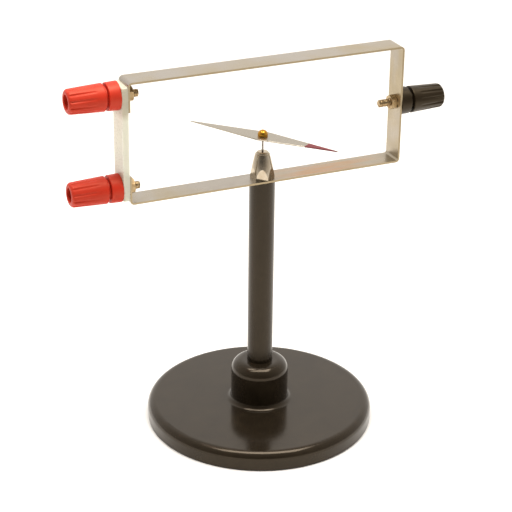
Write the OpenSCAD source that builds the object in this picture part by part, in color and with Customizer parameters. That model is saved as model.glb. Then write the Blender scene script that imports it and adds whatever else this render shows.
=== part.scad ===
// Oersted apparatus. A magnetised needle turns on a steel point inside a flat metal band that is
// bent into a long loop. The band is the conductor. It starts and ends at the two red binding
// posts, whose studs join its end tabs to a clear insulating bar, and the black binding post taps
// it half way round. A column on a round moulded base carries the band and the needle.
//
// The origin is the middle of the base's underside. Z is up, and X runs along the band, from the
// red posts to the black one.

/* [Base] */
// Diameter of the round base
base_d = 120; // [104:1:136]
// Height of the base's flat top above the table
base_h = 10.2; // [9:0.2:13]
// Radius of the rounded edge between the base's top and its side
base_edge_r = 4.2; // [2.5:0.1:5.5]
// Radius of the small round at the foot of the base's side
base_foot_r = 0.8; // [0.4:0.1:1.4]
// Thickness of the base's top and skirt
base_wall = 3; // [2.4:0.1:3.8]
// Number of radial stiffening ribs under the base
rib_count = 6; // [4:1:10]
// Thickness of each rib
rib_t = 2.2; // [1.6:0.1:3]
// Clearance of the ribs above the table
rib_clear = 2; // [1:0.2:3.5]

/* [Hub] */
// Diameter of the hub that holds the column
hub_d = 30.4; // [28:0.2:36]
// Height of the hub above the base's top
hub_h = 23.2; // [18:0.2:30]
// Radius of the hub's rounded shoulder
hub_round_r = 6; // [3:0.2:7]
// Radius of the fillet at the hub's foot
hub_fillet_r = 2.6; // [1.5:0.1:4]
// Thickness of the hub's outer wall
hub_wall = 2.8; // [2.2:0.1:3.6]
// Thickness of the inner wall round the column's socket
socket_wall = 2.8; // [2.2:0.1:3.4]
// Thickness of the floor that the column stands on
socket_floor_t = 3.6; // [2.5:0.1:5]

/* [Column] */
// Diameter of the column
column_d = 13.4; // [12:0.1:15]
// Length of the column
column_l = 128; // [100:0.5:150]
// Wall of the column's tube
column_wall = 2.2; // [1.6:0.1:3]
// Radius gap between the column and its socket
column_gap = 0.1; // [0.05:0.01:0.25]

/* [Tie rod] */
// Diameter of the rod that holds the stand together
rod_d = 5; // [4:0.1:5.5]
// Radius gap round the rod where it passes through base and band
rod_gap = 0.25; // [0.1:0.05:0.4]
// Width across the flats of the nut under the base
rod_nut_af = 8; // [7.4:0.1:10]
// Thickness of the nut under the base
rod_nut_h = 2.7; // [2:0.1:3]
// Diameter of the washer under the base
rod_washer_d = 15; // [12:0.2:17]
// Thickness of the washer under the base
rod_washer_t = 1; // [0.6:0.1:1.2]
// Length of rod that stands out below its nut
rod_tail = 0.6; // [0.2:0.1:0.9]

/* [Conductor band] */
// Length of the loop over the band's outer faces
band_l = 149.4; // [138:0.2:160]
// Height of the loop over the band's outer faces
band_h = 63; // [56:0.5:72]
// Width of the band
band_w = 13; // [11:0.1:16]
// Thickness of the band
band_t = 1; // [0.8:0.1:1.5]
// Outer radius of the band's bends
band_bend_r = 2.2; // [1.8:0.1:3]
// How far the middle of the loop lies from the column, towards the black post
band_shift = 1; // [-2:0.2:2]
// Length of the upright tab at each end of the band
tab_l = 15; // [13:0.5:18]

/* [Insulating bar] */
// Thickness of the clear bar between the band's two ends
bar_t = 3.2; // [2.5:0.1:4.5]
// Width of the bar
bar_w = 13; // [11:0.1:15]
// How far each end of the bar stops short of the band's outer face
bar_inset = 2.2; // [1:0.1:3.4]
// Radius of the bar's corners
bar_corner_r = 0.6; // [0.3:0.1:1.5]

/* [Binding posts] */
// Height of each red post's axis from the band's nearest outer face
post_inset = 7.6; // [7.3:0.1:9]
// Diameter of the collar where it meets the band or the bar
collar_d = 14.4; // [13.4:0.1:15]
// Diameter of the collar at its outer end
collar_end_d = 14; // [13:0.1:14.6]
// Length of the collar
collar_l = 6; // [5:0.1:8]
// Radius of the collar's rounded outer edge
collar_edge_r = 0.5; // [0.2:0.1:0.8]
// Radius of the collar's edge against the band or the bar
collar_rear_r = 0.3; // [0.2:0.1:0.6]
// Depth of the recess in the collar that the stud's shoulder sits in
collar_recess = 3; // [2:0.1:3.6]
// Width of the groove between collar and cap
groove_w = 1.5; // [0.8:0.1:2.2]
// Diameter of the cap at its collar end
cap_d = 14; // [13:0.1:15]
// Diameter of the cap at its free end, before its rounded edge
cap_end_d = 12.4; // [11.6:0.1:13.4]
// Length of the cap
cap_l = 18.5; // [17.6:0.1:21]
// Radius of the cap's rounded free end
cap_round_r = 1.8; // [0.8:0.1:2]
// Radius of the cap's rounded rear edge
cap_rear_r = 0.4; // [0.2:0.1:0.7]
// Diameter of the opening in the cap's free end
cap_mouth_d = 7.2; // [6.9:0.1:8]
// Number of finger flutes round the cap
flute_count = 12; // [8:1:16]
// Radius of each flute
flute_r = 0.95; // [0.7:0.05:1.2]
// Depth of each flute at the cap's free end
flute_depth = 0.55; // [0.3:0.05:0.7]
// Length at the cap's rear end that stays smooth
flute_start = 4; // [2:0.5:7]
// Depth of each flute where it starts, next to the smooth rear end
flute_start_depth = 0.15; // [0.1:0.05:0.3]
// Outer diameter of the brass insert in the cap
insert_d = 9.4; // [9:0.1:10]
// How deep the brass insert reaches into the cap
insert_depth = 11.5; // [9:0.1:13]
// Radius gap of the turning parts of a post
turn_gap = 0.05; // [0.02:0.01:0.09]
// Gap between the insert and the collar when the cap is screwed home
seat_gap = 0.1; // [0.05:0.05:0.3]
// Diameter of the stud's hollow front
stud_d = 6.4; // [6:0.1:6.6]
// How far the stud's hollow end lies inside the cap's mouth
stud_recess = 2.6; // [1.5:0.1:3.5]
// Diameter of the socket for a plug
socket_d = 4.05; // [4:0.01:4.2]
// Diameter of the wire hole across the stud
wire_hole_d = 1.8; // [1.2:0.1:2.2]
// Diameter of the stud's threaded tail
tail_d = 4; // [3.5:0.1:4.4]
// Length of the stud's tail behind the collar
tail_l = 10.4; // [10:0.1:13]
// Radius gap round the tail where it passes through collar, bar and band
tail_gap = 0.15; // [0.05:0.05:0.3]
// Width across the flats of the nuts on the tails
post_nut_af = 7; // [6.6:0.1:8]
// Thickness of the nuts on the tails
post_nut_h = 3.2; // [2.2:0.1:3.4]
// Radius gap between a thread's plain core and the nut on it
thread_gap = 0.05; // [0.02:0.01:0.1]

/* [Pivot] */
// Width across the flats of the pivot holder
holder_af = 10.8; // [10:0.1:12]
// Height of the pivot holder
holder_h = 14.2; // [12.6:0.1:18]
// Height of the hexagon at its corners, where the turned nose starts
holder_hex_h = 0.8; // [0.5:0.1:3]
// Diameter of the nose at its top, before its rounded edge
holder_top_d = 6.8; // [6:0.1:8]
// Radius of the nose's curved side
holder_nose_r = 90; // [40:1:150]
// Radius of the nose's rounded top edge
holder_round_r = 1.3; // [0.6:0.1:2]
// Direction that one flat of the holder faces, from the X axis
holder_turn = 5; // [0:1:59]
// Depth of the holder's threaded hole for the rod
holder_thread_depth = 8; // [6:0.1:8.4]
// Diameter of the pivot pin
pin_d = 1; // [0.8:0.05:1.3]
// Depth to which the pin is set in the holder
pin_depth = 3.5; // [2.5:0.1:3.8]
// Length of the pin's conical point
pin_point_l = 2; // [1.2:0.1:3]

/* [Needle] */
// Length of the needle
needle_l = 85; // [70:0.5:96]
// Width of the needle at its middle
needle_w = 12; // [9:0.2:14]
// Thickness of the needle's blade
needle_t = 0.6; // [0.4:0.05:0.9]
// Height of the blade's underside above the pivot holder
needle_rise = 7.7; // [6:0.1:10]
// Direction of the needle's red end, from the X axis
needle_heading = -53; // [-90:1:90]
// Diameter of the needle's domed cap
dome_d = 5.2; // [4.4:0.1:6]
// Height of the dome's middle above the blade
dome_rise = 0.6; // [0.5:0.1:1.2]
// Diameter of the cap's neck through the blade
neck_d = 3.2; // [3:0.1:3.8]
// Diameter of the rolled rim that holds the cap under the blade
rim_d = 4.2; // [3.4:0.1:4.3]
// Thickness of that rim
rim_t = 0.8; // [0.3:0.1:0.8]
// Diameter of the jewel in the cap
jewel_d = 2; // [1.8:0.1:2.4]
// Height of the jewel
jewel_h = 1.3; // [1:0.1:1.5]
// Depth of the jewel's cup
cup_depth = 0.7; // [0.5:0.05:0.8]
// Angle of the jewel's cup, wider than the pin's point
cup_angle = 70; // [60:1:84]
// Gap between the pin's point and the jewel's cup
point_gap = 0.03; // [0.01:0.01:0.08]

/* [Hidden] */
$fn = 96;
// Overrun of cutting shapes past the faces that they cut
over = 1;
// Number of short cones that make up each rounded edge of a turned piece
round_steps = 6;
// How far inside a nut's flats its turned corners start
corner_turn = 0.1;

// Base and hub, from the table up
base_r = base_d / 2;
hub_r = hub_d / 2;
hub_top_z = base_h + hub_h;
socket_r = column_d / 2 + column_gap;
boss_r = socket_r + socket_wall;
// The nut under the base stays clear of the table by its tail and this gap
nut_clear = 1;
floor_under_z = nut_clear + rod_tail + rod_nut_h + rod_washer_t;
column_z = floor_under_z + socket_floor_t;
core_top_z = hub_top_z - hub_round_r - hub_wall;
ring_wall = 2.4;
ring_r = max(hub_r, boss_r + ring_wall);

// Band
band_z = column_z + column_l;
band_top_z = band_z + band_h;
band_left_x = band_shift - band_l / 2;
band_right_x = band_shift + band_l / 2;
bar_left_x = band_left_x - bar_t;
tail_hole_d = tail_d + 2 * tail_gap;
rod_hole_d = rod_d + 2 * rod_gap;

// Binding posts
post_upper_z = band_top_z - post_inset;
post_lower_z = band_z + post_inset;
post_mid_z = (band_z + band_top_z) / 2;
cap_z = collar_l + groove_w;
cap_end_z = cap_z + cap_l;
insert_z = collar_l + seat_gap;
insert_end_z = cap_z + insert_depth;
stud_shoulder_z = collar_l - collar_recess;
stud_end_z = cap_end_z - stud_recess;
// The wire hole starts this far in front of the insert's rear face
wire_hole_land = 0.3;
wire_hole_z = insert_z + wire_hole_land + wire_hole_d / 2;
// Metal between the wire hole and the floor of the socket
socket_end_t = 0.6;
socket_floor_z = wire_hole_z + wire_hole_d / 2 + socket_end_t;
chamfer = 0.4;

// Pivot
holder_z = band_z + band_t;
holder_top_z = holder_z + holder_h;
corner_r = holder_af / 2 / cos(30);
blade_z = holder_top_z + needle_rise;
blade_top_z = blade_z + needle_t;
dome_z = blade_top_z + dome_rise;
jewel_rise = 0.5;
jewel_z = blade_top_z + jewel_rise;
pin_z = holder_top_z - pin_depth;
pin_top_z = jewel_z + cup_depth - point_gap;
rod_z = nut_clear;
rod_top_z = holder_z + holder_thread_depth - chamfer;

MOULDING = "#3a3228";
MOULDING_TUBE = "#403830";
NICKEL = "#c3b6a2";
BRASS = "#b98f4a";
STEEL = "#b8b2a8";
CLEAR = "#e8e0cc";
RED = "#e04030";
BLACK = "#3a322a";

// Flat shapes

// Everything outside a quarter circle in the corner at the origin, to cut a rounded corner
module corner_cutter(r) {
    difference() {
        translate([-r, -r]) square(r + over);
        translate([-r, -r]) circle(r);
    }
}

// Rectangle with its low corner at the origin and all four corners rounded
module rounded_rectangle(w, h, r) {
    difference() {
        square([w, h]);
        for (i = [0, 1], j = [0, 1])
            translate([i * w, j * h]) mirror([1 - i, 0]) mirror([0, 1 - j]) corner_cutter(r);
    }
}

// Points of an arc about centre, from angle a0 to angle a1
function arc(centre, r, a0, a1) = [
    for (i = [0 : round_steps])
        let (a = a0 + (a1 - a0) * i / round_steps) centre + r * [cos(a), sin(a)]
];

// Half section of a turned piece that tapers from r0 to r1, with its two outer edges rounded
module turned_section(r0, r1, h, low_r, high_r) {
    lean = atan((r0 - r1) / h);
    low = [r0 - low_r * (1 + sin(lean)) / cos(lean), low_r];
    high = [r0 - (high_r + (h - high_r) * sin(lean)) / cos(lean), h - high_r];
    polygon(concat([[0, 0]], arc(low, low_r, -90, lean), arc(high, high_r, lean, 90), [[0, h]]));
}

// Solid shapes that repeat

// Hexagonal nut standing on the origin, with its corners turned off at 30 degrees to just past
// the flats, and a plain bore
module hex_nut(af, h, bore_d) {
    across_corners = af / cos(30);
    turned = (across_corners - af) / 2 + corner_turn;
    difference() {
        intersection() {
            cylinder(d = across_corners, h = h, $fn = 6);
            rotate_extrude() polygon([
                [0, 0], [across_corners / 2 - turned, 0], [across_corners / 2, turned * tan(30)],
                [across_corners / 2, h - turned * tan(30)], [across_corners / 2 - turned, h], [0, h]
            ]);
        }
        translate([0, 0, -over]) cylinder(d = bore_d, h = h + 2 * over);
    }
}

// Rod with chamfered ends, standing on the origin
module chamfered_rod(d, h) {
    rotate_extrude() polygon([
        [0, 0], [d / 2 - chamfer, 0], [d / 2, chamfer],
        [d / 2, h - chamfer], [d / 2 - chamfer, h], [0, h]
    ]);
}

// Puts a post's parts in place: its own Z axis points outwards from the face at x
module at_post(x, side, z) {
    translate([x, 0, z]) rotate([0, 90 * side, 0]) children();
}

module at_upper_post() { at_post(bar_left_x, -1, post_upper_z) children(); }
module at_lower_post() { at_post(bar_left_x, -1, post_lower_z) children(); }
module at_black_post() { at_post(band_right_x, 1, post_mid_z) children(); }

// Parts of one binding post, each standing on the face that carries the post

// Round collar: a hole for the stud's tail, and a recess for the shoulder of its hollow front
module post_collar() {
    difference() {
        rotate_extrude()
            turned_section(collar_d / 2, collar_end_d / 2, collar_l, collar_rear_r, collar_edge_r);
        translate([0, 0, -over]) cylinder(d = tail_hole_d, h = collar_l + 2 * over);
        translate([0, 0, stud_shoulder_z]) cylinder(d = stud_d + 2 * tail_gap, h = collar_l);
    }
}

// Brass stud: threaded tail, shoulder, wire hole and the hollow front that takes a plug
module post_stud() {
    difference() {
        rotate_extrude() polygon([
            [0, -tail_l], [tail_d / 2 - chamfer, -tail_l], [tail_d / 2, chamfer - tail_l],
            [tail_d / 2, stud_shoulder_z], [stud_d / 2, stud_shoulder_z],
            [stud_d / 2, stud_end_z - chamfer], [stud_d / 2 - chamfer, stud_end_z], [0, stud_end_z]
        ]);
        translate([0, 0, socket_floor_z]) cylinder(d = socket_d, h = stud_end_z);
        translate([0, 0, wire_hole_z]) rotate([90, 0, 0])
            cylinder(d = wire_hole_d, h = 2 * stud_d, center = true);
    }
}

// Brass nut on the tail. stack is what lies between the collar and the nut
module post_nut(stack) {
    translate([0, 0, -stack - post_nut_h]) hex_nut(post_nut_af, post_nut_h, tail_d + 2 * thread_gap);
}

// Brass insert that carries the cap's thread and clamps a wire against the collar
module post_insert() {
    translate([0, 0, insert_z]) difference() {
        chamfered_rod(insert_d, insert_end_z - insert_z);
        translate([0, 0, -over])
            cylinder(d = stud_d + 2 * turn_gap, h = insert_end_z - insert_z + 2 * over);
    }
}

// Fluted cap. Each flute is a cylinder that leans inwards, so that it deepens to the free end
module post_cap() {
    start_r = cap_d / 2 - (cap_d - cap_end_d) / 2 * flute_start / cap_l - flute_start_depth;
    end_r = cap_end_d / 2 - flute_depth;
    lean = atan((start_r - end_r) / (cap_l - flute_start));
    translate([0, 0, cap_z]) difference() {
        rotate_extrude() turned_section(cap_d / 2, cap_end_d / 2, cap_l, cap_rear_r, cap_round_r);
        for (i = [0 : flute_count - 1])
            rotate([0, 0, (i + 0.5) * 360 / flute_count])
                translate([start_r + flute_r, 0, flute_start]) rotate([0, -lean, 0])
                    cylinder(r = flute_r, h = cap_l);
        translate([0, 0, -over]) cylinder(d = insert_d + 2 * turn_gap, h = insert_depth + turn_gap + over);
        cylinder(d = cap_mouth_d, h = cap_l + over);
    }
}

// Stand

// Hollow moulded base with its hub. The column's socket is open above, the nut's place below
module base() {
    color(MOULDING) difference() {
        union() {
            rotate_extrude() base_section();
            for (i = [0 : rib_count - 1])
                rotate([0, 0, i * 360 / rib_count])
                    translate([ring_r - ring_wall / 2, -rib_t / 2, rib_clear])
                        cube([base_r - base_wall / 2 - ring_r + ring_wall / 2, rib_t,
                              base_h - base_wall / 2 - rib_clear]);
        }
        translate([0, 0, -over]) cylinder(d = rod_hole_d, h = hub_top_z);
        translate([0, 0, column_z]) cylinder(r = socket_r, h = hub_top_z);
    }
}

// Half section of the base, without its ribs, rod hole and socket
module base_section() {
    difference() {
        union() {
            difference() {
                square([base_r, base_h]);
                translate([base_r, base_h]) corner_cutter(base_edge_r);
                translate([base_r, 0]) mirror([0, 1]) corner_cutter(base_foot_r);
            }
            difference() {
                square([hub_r, hub_top_z]);
                translate([hub_r, hub_top_z]) corner_cutter(hub_round_r);
            }
            difference() {
                translate([hub_r - over, base_h - over]) square(hub_fillet_r + over);
                translate([hub_r + hub_fillet_r, base_h + hub_fillet_r]) circle(hub_fillet_r);
            }
        }
        // Space under the base, from the ring below the hub out to the skirt
        translate([ring_r, -over]) square([base_r - base_wall - ring_r, base_h - base_wall + over]);
        // Place of the washer and nut, inside that ring
        translate([-over, -over]) square([ring_r - ring_wall + over, floor_under_z + over]);
        // The ring stops short of the table
        translate([-over, -over]) square([base_r - base_wall + over, rib_clear + over]);
        // Core between the hub's wall and the wall of the socket
        translate([boss_r, -over]) square([hub_r - hub_wall - boss_r, core_top_z + over]);
    }
}

// Column: a tube between the floor of the socket and the band
module column() {
    color(MOULDING_TUBE) translate([0, 0, column_z]) difference() {
        chamfered_rod(column_d, column_l);
        translate([0, 0, -over]) cylinder(d = column_d - 2 * column_wall, h = column_l + 2 * over);
    }
}

// Rod that pulls the pivot holder, band, column and base together
module tie_rod() {
    color(STEEL) translate([0, 0, rod_z]) chamfered_rod(rod_d, rod_top_z - rod_z);
}

module rod_washer() {
    color(STEEL) translate([0, 0, floor_under_z - rod_washer_t]) difference() {
        cylinder(d = rod_washer_d, h = rod_washer_t);
        translate([0, 0, -over]) cylinder(d = rod_hole_d, h = rod_washer_t + 2 * over);
    }
}

module rod_nut() {
    color(STEEL) translate([0, 0, nut_clear + rod_tail])
        hex_nut(rod_nut_af, rod_nut_h, rod_d + 2 * thread_gap);
}

// Conductor

// Bent band, open at the left between its two end tabs
module conductor_band() {
    color(NICKEL) difference() {
        translate([band_left_x, band_w / 2, band_z]) rotate([90, 0, 0])
            linear_extrude(height = band_w) difference() {
                rounded_rectangle(band_l, band_h, band_bend_r);
                translate([band_t, band_t])
                    rounded_rectangle(band_l - 2 * band_t, band_h - 2 * band_t, band_bend_r - band_t);
                translate([-over, tab_l]) square([band_t + 2 * over, band_h - 2 * tab_l]);
            }
        translate([0, 0, band_z - over]) cylinder(d = rod_hole_d, h = band_t + 2 * over);
        at_upper_post() tail_hole();
        at_lower_post() tail_hole();
        at_black_post() tail_hole();
    }
}

// Hole for a stud's tail through what lies behind a post's collar
module tail_hole() {
    translate([0, 0, -bar_t - band_t - over]) cylinder(d = tail_hole_d, h = bar_t + band_t + 2 * over);
}

// Clear bar that carries the red posts and keeps the band's ends apart
module insulating_bar() {
    bar_l = band_h - 2 * bar_inset;
    color(CLEAR, 0.6) difference() {
        translate([band_left_x, -bar_w / 2, band_z + bar_inset]) rotate([0, -90, 0])
            linear_extrude(height = bar_t) rounded_rectangle(bar_l, bar_w, bar_corner_r);
        at_upper_post() tail_hole();
        at_lower_post() tail_hole();
    }
}

// Pivot

// Hexagon below, turned nose above. The nose's side is an arc that bulges outwards from the
// hexagon's corners to the top, so that it cuts each flat in an arch
module pivot_holder() {
    low = [corner_r, holder_hex_h];
    high = [holder_top_d / 2, holder_h];
    half = norm(high - low) / 2;
    along = (high - low) / (2 * half);
    inwards = [-along[1], along[0]];
    centre = (low + high) / 2 + inwards * sqrt(pow(holder_nose_r, 2) - half * half);
    color(NICKEL) translate([0, 0, holder_z]) difference() {
        intersection() {
            rotate(holder_turn - 30) cylinder(r = corner_r, h = holder_h, $fn = 6);
            rotate_extrude() difference() {
                intersection() {
                    square([2 * corner_r, holder_h]);
                    union() {
                        square([2 * corner_r, holder_hex_h]);
                        translate(centre) circle(holder_nose_r, $fn = 360);
                    }
                }
                translate([holder_top_d / 2, holder_h]) corner_cutter(holder_round_r);
            }
        }
        translate([0, 0, -over]) cylinder(d = rod_d + 2 * thread_gap, h = holder_thread_depth + over);
        translate([0, 0, holder_h - pin_depth]) cylinder(d = pin_d, h = pin_depth + over);
    }
}

// Steel pin with the point that the needle turns on
module pivot_pin() {
    color(STEEL) translate([0, 0, pin_z]) rotate_extrude() polygon([
        [0, 0], [pin_d / 2, 0], [pin_d / 2, pin_top_z - pin_point_l - pin_z], [0, pin_top_z - pin_z]
    ]);
}

// Needle

// Flat lozenge of magnet steel with a hole for the cap's neck
module needle_blade() {
    color(STEEL) rotate(needle_heading) translate([0, 0, blade_z]) difference() {
        linear_extrude(height = needle_t) polygon([
            [-needle_l / 2, 0], [0, -needle_w / 2], [needle_l / 2, 0], [0, needle_w / 2]
        ]);
        translate([0, 0, -over]) cylinder(d = neck_d, h = needle_t + 2 * over);
    }
}

// Domed brass cap: its neck goes down through the blade and is rolled over below it
module needle_cap() {
    color(BRASS) difference() {
        rotate_extrude() union() {
            intersection() {
                translate([0, dome_z]) circle(dome_d / 2);
                translate([0, blade_top_z]) square(dome_d);
            }
            translate([0, blade_z - rim_t]) square([neck_d / 2, needle_t + rim_t + dome_rise]);
            translate([0, blade_z - rim_t]) square([rim_d / 2, rim_t]);
        }
        translate([0, 0, blade_z - rim_t - over])
            cylinder(d = jewel_d, h = jewel_z + jewel_h - blade_z + rim_t + over);
    }
}

// Jewel pressed into the cap, with the cup that rests on the pin's point
module needle_jewel() {
    color("#9a2f3a") translate([0, 0, jewel_z]) difference() {
        cylinder(d = jewel_d, h = jewel_h);
        rotate_extrude() polygon([
            [0, -over], [(cup_depth + over) * tan(cup_angle / 2), -over], [0, cup_depth]
        ]);
    }
}

// Binding posts

module upper_red_collar() { color(RED) at_upper_post() post_collar(); }
module upper_red_stud() { color(BRASS) at_upper_post() post_stud(); }
module upper_red_nut() { color(BRASS) at_upper_post() post_nut(bar_t + band_t); }
module upper_red_insert() { color(BRASS) at_upper_post() post_insert(); }
module upper_red_cap() { color(RED) at_upper_post() post_cap(); }

module lower_red_collar() { color(RED) at_lower_post() post_collar(); }
module lower_red_stud() { color(BRASS) at_lower_post() post_stud(); }
module lower_red_nut() { color(BRASS) at_lower_post() post_nut(bar_t + band_t); }
module lower_red_insert() { color(BRASS) at_lower_post() post_insert(); }
module lower_red_cap() { color(RED) at_lower_post() post_cap(); }

module black_collar() { color(BLACK) at_black_post() post_collar(); }
module black_stud() { color(BRASS) at_black_post() post_stud(); }
module black_nut() { color(BRASS) at_black_post() post_nut(band_t); }
module black_insert() { color(BRASS) at_black_post() post_insert(); }
module black_cap() { color(BLACK) at_black_post() post_cap(); }

base();
column();
tie_rod();
rod_washer();
rod_nut();
conductor_band();
insulating_bar();
pivot_holder();
pivot_pin();
needle_blade();
needle_cap();
needle_jewel();
upper_red_collar();
upper_red_stud();
upper_red_nut();
upper_red_insert();
upper_red_cap();
lower_red_collar();
lower_red_stud();
lower_red_nut();
lower_red_insert();
lower_red_cap();
black_collar();
black_stud();
black_nut();
black_insert();
black_cap();
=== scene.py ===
"""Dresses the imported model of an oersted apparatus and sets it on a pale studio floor.

The stand, band, bar and collars keep their CAD solids and get their finishes here. The caps with
their finger flutes, the threaded studs, the tie rod's thread and the needle's blade are made here
and take the place of the plain solids.
"""

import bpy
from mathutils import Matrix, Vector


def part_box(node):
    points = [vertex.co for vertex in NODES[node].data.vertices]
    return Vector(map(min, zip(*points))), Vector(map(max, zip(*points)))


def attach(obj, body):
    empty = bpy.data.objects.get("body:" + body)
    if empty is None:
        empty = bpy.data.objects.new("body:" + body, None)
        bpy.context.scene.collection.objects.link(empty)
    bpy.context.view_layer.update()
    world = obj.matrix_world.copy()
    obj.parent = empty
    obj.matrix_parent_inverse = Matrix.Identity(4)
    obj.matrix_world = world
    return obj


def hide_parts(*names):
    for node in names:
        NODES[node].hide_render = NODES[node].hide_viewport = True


bl_info = {
    "name": "Oersted Apparatus",
    "version": (1, 0, 0),
    "blender": (4, 5, 0),
    "location": "3D View > Sidebar > Oersted",
    "description": "Finishes, threads, fluted caps and a studio for an oersted apparatus",
    "category": "Object",
}

import math

import bmesh
import bpy
from mathutils import Matrix, Vector

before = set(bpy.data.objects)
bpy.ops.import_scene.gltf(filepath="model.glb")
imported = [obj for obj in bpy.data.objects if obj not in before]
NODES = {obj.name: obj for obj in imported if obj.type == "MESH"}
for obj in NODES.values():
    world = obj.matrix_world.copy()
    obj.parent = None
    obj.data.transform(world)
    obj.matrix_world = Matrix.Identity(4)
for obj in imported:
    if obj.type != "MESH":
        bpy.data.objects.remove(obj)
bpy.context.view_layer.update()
MM = 0.001
POSTS = ("upper_red", "lower_red", "black")
SIDES_PER_FLUTE = 24


def srgb(code):
    """A hex colour as linear red, green, blue and alpha."""
    parts = [int(code[i:i + 2], 16) / 255 for i in (1, 3, 5)]
    linear = [c / 12.92 if c <= 0.04045 else ((c + 0.055) / 1.055) ** 2.4 for c in parts]
    return (*linear, 1.0)


def length(name, description, mm):
    """A length that a user may change, given in millimetres."""
    return bpy.props.FloatProperty(
        name=name, description=description, default=mm * MM, unit="LENGTH", precision=5)


def colour(name, description, code):
    """A colour that a user may change, given as a hex colour."""
    return bpy.props.FloatVectorProperty(
        name=name, description=description, default=srgb(code), size=4,
        subtype="COLOR", min=0, max=1)


# Sizes and colours


class OerstedPostSizes(bpy.types.PropertyGroup):
    """Sizes of the binding posts, measured along each post from the face that carries it."""

    cap_start: length("Cap start", "Distance of the cap's rear end from the post's face", 7.5)
    cap_length: length("Cap length", "Length of the fluted cap", 18.5)
    cap_rear_radius: length("Cap rear radius", "Radius of the cap at its smooth rear end", 7)
    cap_end_radius: length("Cap end radius", "Radius of the cap at its free end", 6.2)
    cap_end_round: length("Cap end round", "Radius of the rounded edge at the free end", 1.8)
    cap_rear_round: length("Cap rear round", "Radius of the rounded edge at the rear end", 0.4)
    mouth_radius: length("Mouth radius", "Radius of the opening in the cap's free end", 3.6)
    insert_bore: length("Insert bore", "Radius of the cap's bore for its insert", 4.75)
    insert_depth: length("Insert depth", "Depth of the cap's bore for its insert", 11.55)
    lip_radius: length("Lip radius", "Outer radius of the cap's lip round its insert", 5.2)
    lip_length: length("Lip length", "Length of that lip, which lies in the groove", 1.3)
    flute_count: bpy.props.IntProperty(
        name="Flutes", description="Number of finger flutes round a cap", default=12, min=6, max=24)
    flute_start: length("Flute start", "Length at the cap's rear end that stays smooth", 4)
    flute_start_depth: length("Flute start depth", "Depth of a flute where it starts", 0.15)
    flute_end_depth: length("Flute end depth", "Depth of a flute at the cap's free end", 0.55)
    stud_radius: length("Stud radius", "Radius of the stud's hollow front", 3.2)
    stud_shoulder: length("Stud shoulder", "Distance of the stud's shoulder from the face", 3)
    stud_end: length("Stud end", "Distance of the stud's open end from the face", 23.4)
    socket_radius: length("Socket radius", "Radius of the socket for a plug", 2.025)
    socket_floor: length("Socket floor", "Distance of the socket's floor from the face", 8.8)
    wire_hole: length("Wire hole", "Distance of the wire hole from the face", 7.3)
    wire_hole_radius: length("Wire hole radius", "Radius of the wire hole", 0.9)
    tail_crest: length("Tail crest", "Outer radius of the tail's thread", 2)
    tail_core: length("Tail core", "Radius of the tail at the roots of its thread", 1.78)
    tail_pitch: length("Tail pitch", "Pitch of the tail's thread", 0.7)


class OerstedStandSizes(bpy.types.PropertyGroup):
    """Sizes of the tie rod under the base."""

    rod_radius: length("Rod radius", "Outer radius of the tie rod's thread", 2.5)
    rod_core: length("Rod core", "Radius of the tie rod at the roots of its thread", 2.1)
    rod_pitch: length("Rod pitch", "Pitch of the tie rod's thread", 0.8)
    rod_thread: length("Rod thread", "Length of thread at each end of the tie rod", 10)


class OerstedNeedleSizes(bpy.types.PropertyGroup):
    """Sizes of the needle and of its paint."""

    heading: bpy.props.FloatProperty(
        name="Heading", description="Direction of the painted end, from the X axis",
        default=math.radians(-53), subtype="ANGLE")
    paint_start: length("Paint start", "Distance of the paint from the pivot", 24.9)
    paint_end: length("Paint end", "Distance at which the worn tip starts", 41.6)
    blade_length: length("Blade length", "Length of the blade from tip to tip", 85)
    blade_width: length("Blade width", "Width of the blade at its middle", 12)
    hole_radius: length("Hole radius", "Radius of the blade's hole for the cap's neck", 1.6)
    edge: length("Edge", "Width of the soft edge of the blade", 0.09)


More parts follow.
